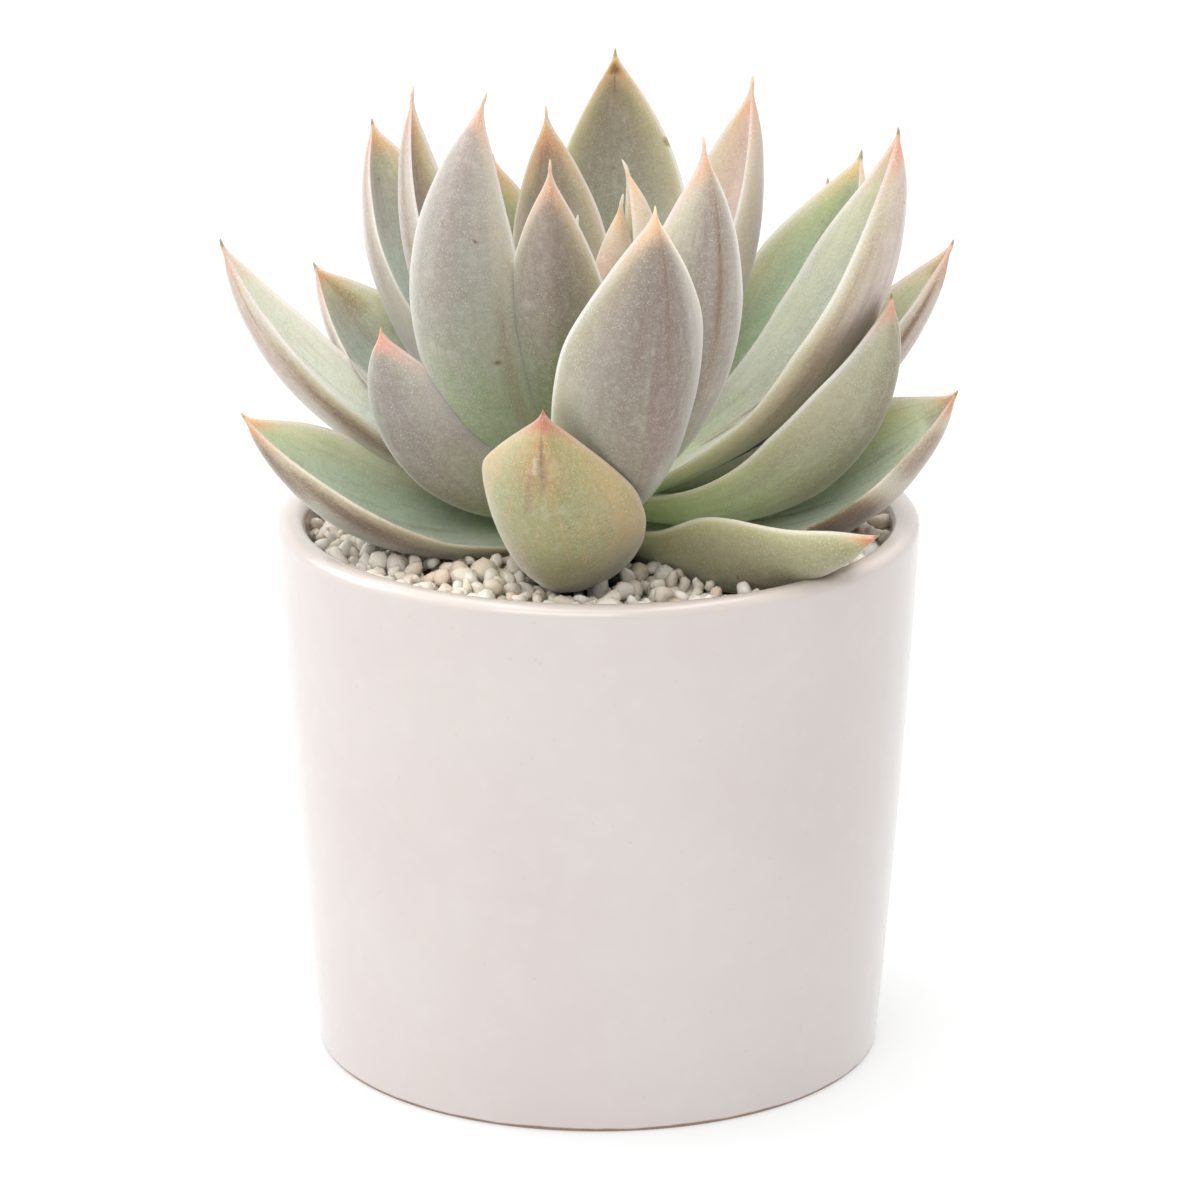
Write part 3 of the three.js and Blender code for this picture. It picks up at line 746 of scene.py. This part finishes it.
# %% Pot profile
POT_HEIGHT, RIM_RADIUS, BASE_RADIUS, POT_BOW = 95.0, 55.2, 48.6, 0.5
POT_WALL, POT_FLOOR, RIM_ROUND, FOOT_ROUND, FLOOR_FILLET = 4.8, 6.0, 2.0, 1.0, 6.0
POT_SIDES = 256


def outer_radius(height):
    """Straight taper plus a parabola of bow, widest in the middle."""
    share = height / POT_HEIGHT
    return BASE_RADIUS + (RIM_RADIUS - BASE_RADIUS) * share + POT_BOW * 4 * share * (1 - share)


def quarter(radius_at, height_at, size, start, end, steps=10):
    """Points of an arc about a centre, from one angle to another."""
    angle = np.radians(np.linspace(start, end, steps))
    return np.stack([radius_at + size * np.cos(angle), height_at + size * np.sin(angle)], -1)


def wall(heights, inset=0.0):
    """Points of the wall at the given heights, moved in by a wall's thickness or not."""
    return np.stack([outer_radius(heights) - inset, heights], -1)


shoulder, corner = POT_HEIGHT - RIM_ROUND, POT_FLOOR + FLOOR_FILLET
profile = np.concatenate([
    [[20, 0], [40, 0]],
    quarter(outer_radius(FOOT_ROUND) - FOOT_ROUND, FOOT_ROUND, FOOT_ROUND, -90, 0),
    wall(np.linspace(2, shoulder - 0.5, 60)),
    quarter(outer_radius(shoulder) - RIM_ROUND, shoulder, RIM_ROUND, 0, 90),
    quarter(outer_radius(shoulder) - POT_WALL + RIM_ROUND, shoulder, RIM_ROUND, 90, 180),
    wall(np.linspace(shoulder - 0.5, corner + 1, 30), POT_WALL),
    quarter(outer_radius(corner) - POT_WALL - FLOOR_FILLET, corner, FLOOR_FILLET, 0, -90, 8),
    [[20, POT_FLOOR]]])
turn = circle(POT_SIDES)
spun = np.stack([profile[:, :1] * np.cos(turn), profile[:, :1] * np.sin(turn),
                 np.repeat(profile[:, 1:], POT_SIDES, 1)], -1)
print("pot profile has", len(profile), "points")

# %% Glaze and pot
glaze, tree, shader = new_material("pot_glaze")
place = object_place(tree)
height = add(tree, "ShaderNodeSeparateXYZ", None, {0: place}).outputs[2]
pooled = noise(place, 26.0, 3, 0.5)
cloth = noise(place, 240.0, 2, 0.5)
body = mixed(step(pooled, 0.3, 0.7), paint(208, 199, 196), paint(211, 203, 199))
body = mixed(step(cloth, 0.45, 0.75, 0.0, 0.18), body, paint(218, 211, 207))
rim_share = step(height, (POT_HEIGHT - 2.6) * MM, (POT_HEIGHT - 0.4) * MM)
body = mixed(times(rim_share, 0.45), body, paint(206, 192, 182))
wiped = plus(height, times(noise(place, 160.0, 3), 0.0006))
bare = step(wiped, 0.9 * MM, 1.25 * MM, 1.0, 0.0)
clay = mixed(noise(place, 1800.0, 3), paint(120, 92, 74), paint(168, 138, 116))
specks = add(tree, "ShaderNodeTexVoronoi", None, {"Vector": place, "Scale": 260.0})
speck = step(specks.outputs["Distance"], 0.05, 0.09, 0.22, 0.0)
body = mixed(speck, body, paint(196, 176, 160))
dull = mixed(bare, (0.2, 0.2, 0.2, 1.0), (0.8, 0.8, 0.8, 1.0))
peel = plus(noise(place, 320.0, 2), times(bare, -0.6))
dress(shader, {"Base Color": mixed(bare, body, clay), "Roughness": dull, "IOR": 1.5,
               "Coat Weight": 0.35, "Coat Roughness": 0.08}, (0.12, 0.0003, peel))

quads, ends = skin_faces(len(profile), POT_SIDES)
quads, ends = quads[:, ::-1], ends[:, ::-1]
pot = new_piece("glazed_pot", np.concatenate([[[0, 0, 0]], spun.reshape(-1, 3), [[0, 0, POT_FLOOR]]]),
                quads, ends, glaze)
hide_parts("pot")

# %% [markdown]
# ## Grit
# The top dressing is washed white gravel, two to four millimetres across. Each grain is a ball of
# a few dozen faces, squashed, lumped and turned at random, so two are never alike. They are
# scattered in a layer about two grains deep, then pushed apart until they just touch, which gives the
# tight, uneven packing of poured gravel. A grain that would stand inside a leaf is left out.

# %% Scatter the grains
GRIT_TOP = 91.0
BED_TOP, BED_UNDERSIDE, BED_SIDES = GRIT_TOP - 3.4, GRIT_TOP - 9, 160
GRAINS = 2000
GRAIN_RADIUS = 1.42
STEM_CLEAR = 4.2
PUSHES = 60
chance = np.random.default_rng(7)
pot_inside = outer_radius(GRIT_TOP) - POT_WALL
size = np.clip(chance.lognormal(math.log(GRAIN_RADIUS), 0.18, GRAINS), 1.0, 2.1)
angle = chance.uniform(0, 2 * np.pi, GRAINS)
reach = pot_inside * np.sqrt(chance.uniform(0.006, 1, GRAINS))
centre = np.stack([reach * np.cos(angle), reach * np.sin(angle),
                   chance.uniform(GRIT_TOP - 4.4, GRIT_TOP + 0.8, GRAINS)], -1)
for _ in range(PUSHES):
    apart = centre[:, None] - centre[None]
    distance = np.sqrt((apart ** 2).sum(-1)) + 1e-6
    overlap = np.clip(0.90 * (size[:, None] + size[None]) - distance, 0, None)
    np.fill_diagonal(overlap, 0)
    centre = centre + 0.35 * (apart * (overlap / distance)[..., None]).sum(1)
    out = np.hypot(centre[:, 0], centre[:, 1])
    room = pot_inside - 0.95 * size
    centre[:, :2] *= np.minimum(1, room / out)[:, None]
    centre[:, 2] = np.clip(centre[:, 2], GRIT_TOP - 4.6, GRIT_TOP + 1.5 - 0.5 * size)
print("grains from", round(centre[:, 2].min(), 1), "to", round(centre[:, 2].max(), 1), "mm high")

# %% Leave out the grains that a leaf or the stem covers
def depth_in(faces, point):
    """How far a point lies inside a closed skin; negative outside, both in millimetres.

    The point is inside when the first face straight above it looks up.
    """
    spot = Vector(point) * MM
    away = faces.find_nearest(spot)[3]
    looks = faces.ray_cast(spot, Vector((0, 0, 1)))[1]
    return 1000 * away * (1 if looks is not None and looks.z > 0 else -1)


low_leaves = [p for p in leaf_pieces if min(v[2] for v in p.bound_box) < (GRIT_TOP + 3) * MM]
clear = np.hypot(centre[:, 0] - STEM_X, centre[:, 1]) > STEM_CLEAR
deps = bpy.context.evaluated_depsgraph_get()
for piece in low_leaves:
    faces = BVHTree.FromObject(piece, deps)
    deep = np.array([depth_in(faces, point) for point in centre])
    clear &= deep < -0.55 * size
centre, size = centre[clear], size[clear]
print(len(centre), "grains are kept;", len(low_leaves), "leaves lie low")

# %% Shape the grains
GRAIN_RINGS, GRAIN_SIDES = 6, 9
tilt = np.linspace(0, np.pi, GRAIN_RINGS + 2)[1:-1][:, None]
around = circle(GRAIN_SIDES)[None]
ball = np.stack([np.sin(tilt) * np.cos(around), np.sin(tilt) * np.sin(around),
                 np.cos(tilt) + 0 * around], -1).reshape(-1, 3)
ball = np.concatenate([[[0, 0, 1]], ball, [[0, 0, -1]]])


def grain_points(centre, size, chance):
    """Points of every grain at once: ball times (1 + lumps), squashed, turned, and put in place.

    The lumps are three sine waves in random directions; the turn is a random rotation, found by
    making three random directions square to one another.
    """
    count = len(centre)
    lumps = 0
    for waves, strength in ((1.8, 0.20), (3.0, 0.19), (4.6, 0.10)):
        pull = chance.normal(0, 1, (count, 3))
        pull = waves * pull / np.linalg.norm(pull, axis=1, keepdims=True)
        lumps = lumps + strength * np.sin(ball @ pull.T + chance.uniform(0, 6.28, count))
    sides = chance.uniform((.98, .76, .66), (1.30, 1.0, .9), (count, 3))
    shape = ball[None] * (1 + lumps.T[..., None]) * sides[:, None]
    turn, _ = np.linalg.qr(chance.normal(0, 1, (count, 3, 3)))
    turn = turn * np.sign(np.linalg.det(turn))[:, None, None]
    return centre[:, None] + size[:, None, None] * (shape @ turn)


def grain_piece(name, centre, size, chance, material):
    """One mesh of many grains, with a tone from 0 to 1 for each grain."""
    points = grain_points(centre, size, chance)
    quads, ends = skin_faces(GRAIN_RINGS, GRAIN_SIDES)
    shift = (np.arange(len(centre)) * len(ball))[:, None, None]
    piece = new_piece(name, points.reshape(-1, 3), (quads[None] + shift).reshape(-1, 4),
                      (ends[None] + shift).reshape(-1, 3), material)
    put_value(piece, "tone", np.repeat(chance.uniform(0, 1, len(centre)), len(ball)))
    return piece


print("a grain has", len(ball), "points")

# %% Stone, and the bed of painted shade under the grains
stone, tree, shader = new_material("white_gravel")
place = object_place(tree)
tone = add(tree, "ShaderNodeAttribute", {"attribute_name": "tone"}).outputs["Fac"]
tones = add(tree, "ShaderNodeValToRGB", None, {0: tone})
ramp = tones.color_ramp
ramp.elements[0].position, ramp.elements[0].color = 0.0, paint(240, 233, 222)
ramp.elements[1].position, ramp.elements[1].color = 1.0, paint(226, 202, 186)
for position, colour in ((0.35, (246, 242, 234)), (0.62, (236, 226, 208)), (0.80, (232, 224, 214)),
                         (0.92, (220, 208, 188))):
    ramp.elements.new(position).color = paint(*colour)
wax = use(tree, bloom, {"Place": place, "Grain": 0.8})
cloudy = mixed(step(wax["Cloud"], 0.4, 0.7, 0.0, 0.30), tones.outputs[0], paint(214, 200, 182))
cloudy = mixed(step(wax["Speckle"], 0.5, 0.7, 0.0, 0.25), cloudy, paint(250, 248, 244))
dress(shader, {
    "Base Color": cloudy, "Roughness": step(wax["Cloud"], 0.3, 0.7, 0.42, 0.68),
    "Subsurface Weight": 0.25, "Subsurface Radius": (1.0, 0.9, 0.8), "Subsurface Scale": 0.0012},
    (0.5, 0.0002, wax["Height"]))

bed_radii = np.linspace(2, pot_inside - 0.2, 40)[:, None]
bed_turn = circle(BED_SIDES)[None]
bed_x, bed_y = bed_radii * np.cos(bed_turn), bed_radii * np.sin(bed_turn)
bed_z = BED_TOP + 0.35 * np.sin(1.3 * bed_x) * np.sin(1.1 * bed_y)
bed_z = bed_z + 0.2 * np.sin(2.3 * bed_x + 1.7 * bed_y)
skirt = pot_inside - 0.5
bed = np.concatenate([
    np.stack([bed_x, bed_y, bed_z], -1),
    np.stack([skirt * np.cos(bed_turn), skirt * np.sin(bed_turn), 0 * bed_turn + BED_UNDERSIDE], -1)])
quads, ends = skin_faces(len(bed), BED_SIDES)
painted_shade_bed, tree, shader = new_material("gravel_in_shade")
place = object_place(tree)
shade = use(tree, bloom, {"Place": place, "Grain": 0.5})
# painted shade: the bed is painted dark brown, standing in for the shade in the gaps between the grains
tint = mixed(step(shade["Cloud"], 0.35, 0.65), paint(132, 118, 100), paint(82, 70, 56))
dress(shader, {"Base Color": tint, "Roughness": 0.9}, (0.8, 0.0006, shade["Height"]))
bed_points = np.concatenate([[[0, 0, BED_TOP]], bed.reshape(-1, 3), [[0, 0, BED_UNDERSIDE]]])
bed_piece = new_piece("grit_bed", bed_points, quads, ends, painted_shade_bed)
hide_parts("grit")

half_count = len(centre) // 2
order = np.argsort(centre[:, 2])
for name, part in (("grit_grains_low", order[:half_count]), ("grit_grains_top", order[half_count:])):
    grains = grain_piece(name, centre[part], size[part], chance, stone)
    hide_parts("grit")
    print(name, len(part), "grains,", len(grains.data.polygons), "faces")

# %% [markdown]
# ## Stem and soil
# The stem and the soil keep the solid part's own shapes, because leaves and gravel hide almost
# all of them. They still get real finishes: ringed, corky bark, and dark crumbly mix.

# %% Stem and soil materials
bark, tree, shader = new_material("stem_bark")
place = object_place(tree)
rings = add(tree, "ShaderNodeTexWave", {"bands_direction": "Z"},
            {"Vector": place, "Scale": 160.0, "Distortion": 6.0, "Detail": 3.0}).outputs[1]
cork = noise(place, 900.0, 4, 0.7)
colour = mixed(rings, paint(112, 104, 68), paint(152, 148, 98))
dress(shader, {
    "Base Color": mixed(step(cork, 0.5, 0.7), colour, paint(94, 76, 52)),
    "Roughness": step(cork, 0.3, 0.7, 0.6, 0.85)}, (0.7, 0.0006, plus(rings, cork)))
refinish("stem", bark)

mix_of_soil, tree, shader = new_material("crumbly_soil")
place = object_place(tree)
crumbs = add(tree, "ShaderNodeTexVoronoi", None, {"Vector": place, "Scale": 420.0}).outputs["Distance"]
colour = mixed(noise(place, 300.0, 4, 0.7), paint(46, 34, 26), paint(104, 82, 62))
crumbled = mixed(step(crumbs, 0.0, 0.25, 0.5, 0.0), colour, paint(140, 116, 90))
dress(shader, {"Base Color": crumbled, "Roughness": 0.95}, (1.0, 0.0012, crumbs))
refinish("soil", mix_of_soil)
print("stem and soil finished")

# %% [markdown]
# ## Floor and light
# A white sweep that glows a little and soft light all round give the clean setting of a catalogue
# picture. The studio is brightest behind, above and to the left, so the left side of the pot is the
# lighter one. Three large soft lights, on the left, above and in front, open up the hollows between
# the leaves.

# %% Floor and light
floor_mesh = bpy.data.meshes.new("floor")
floor_mesh.from_pydata([(-6, -6, 0), (6, -6, 0), (6, 6, 0), (-6, 6, 0)], [], [(0, 1, 2, 3)])
floor = bpy.data.objects.new("floor", floor_mesh)
bpy.context.scene.collection.objects.link(floor)
sweep, tree, shader = new_material("white_sweep")
dress(shader, {"Base Color": (0.35, 0.35, 0.35, 1.0), "Emission Color": (1.0, 1.0, 1.0, 1.0),
               "Emission Strength": 0.58, "Roughness": 1.0, "Specular IOR Level": 0.0})
floor_mesh.materials.append(sweep)

world = bpy.data.worlds.new("studio")
world.use_nodes = True
bpy.context.scene.world = world
tree = world.node_tree
direction = add(tree, "ShaderNodeTexCoord").outputs["Generated"]
toward = add(tree, "ShaderNodeSeparateXYZ", None, {0: direction})
# brightness by direction: the axis, where it starts and stops changing, and both strengths
ranges = [
    add(tree, "ShaderNodeMapRange", None, {0: toward.outputs[axis], 1: low, 2: high, 3: start, 4: end})
    for axis, low, high, start, end in (
        (1, -1.0, 1.0, 0.40, 0.95), (2, 0.0, 1.0, 0.0, 0.22), (0, 0.9, -1.0, 0.0, 0.20))]
from_behind, from_above, from_left = (node.outputs[0] for node in ranges)
sky = plus(from_behind, plus(from_above, from_left))
fill(tree.nodes["Background"].inputs["Strength"], sky)
tree.nodes["Background"].inputs["Color"].default_value = (1.0, 0.995, 0.99, 1.0)
LIT_POINT = Vector((0, 0, 0.09))


def soft_light(name, place, width, height, watts):
    """A rectangular soft light at a place, turned to face the plant."""
    data = bpy.data.lights.new(name, "AREA")
    data.shape, data.size, data.size_y, data.energy = "RECTANGLE", width, height, watts
    lamp = bpy.data.objects.new(name, data)
    lamp.location = place
    lamp.rotation_euler = (LIT_POINT - Vector(place)).to_track_quat("-Z", "Y").to_euler()
    bpy.context.scene.collection.objects.link(lamp)


soft_light("left_light", (-1.1, 0.35, 0.85), 0.9, 0.9, 6.0)
soft_light("top_light", (0.0, 0.1, 1.3), 1.0, 1.0, 9.0)
soft_light("front_light", (-0.3, -1.0, 1.1), 1.0, 0.7, 7.0)
bpy.context.scene.view_settings.view_transform = "Standard"
print("studio ready")
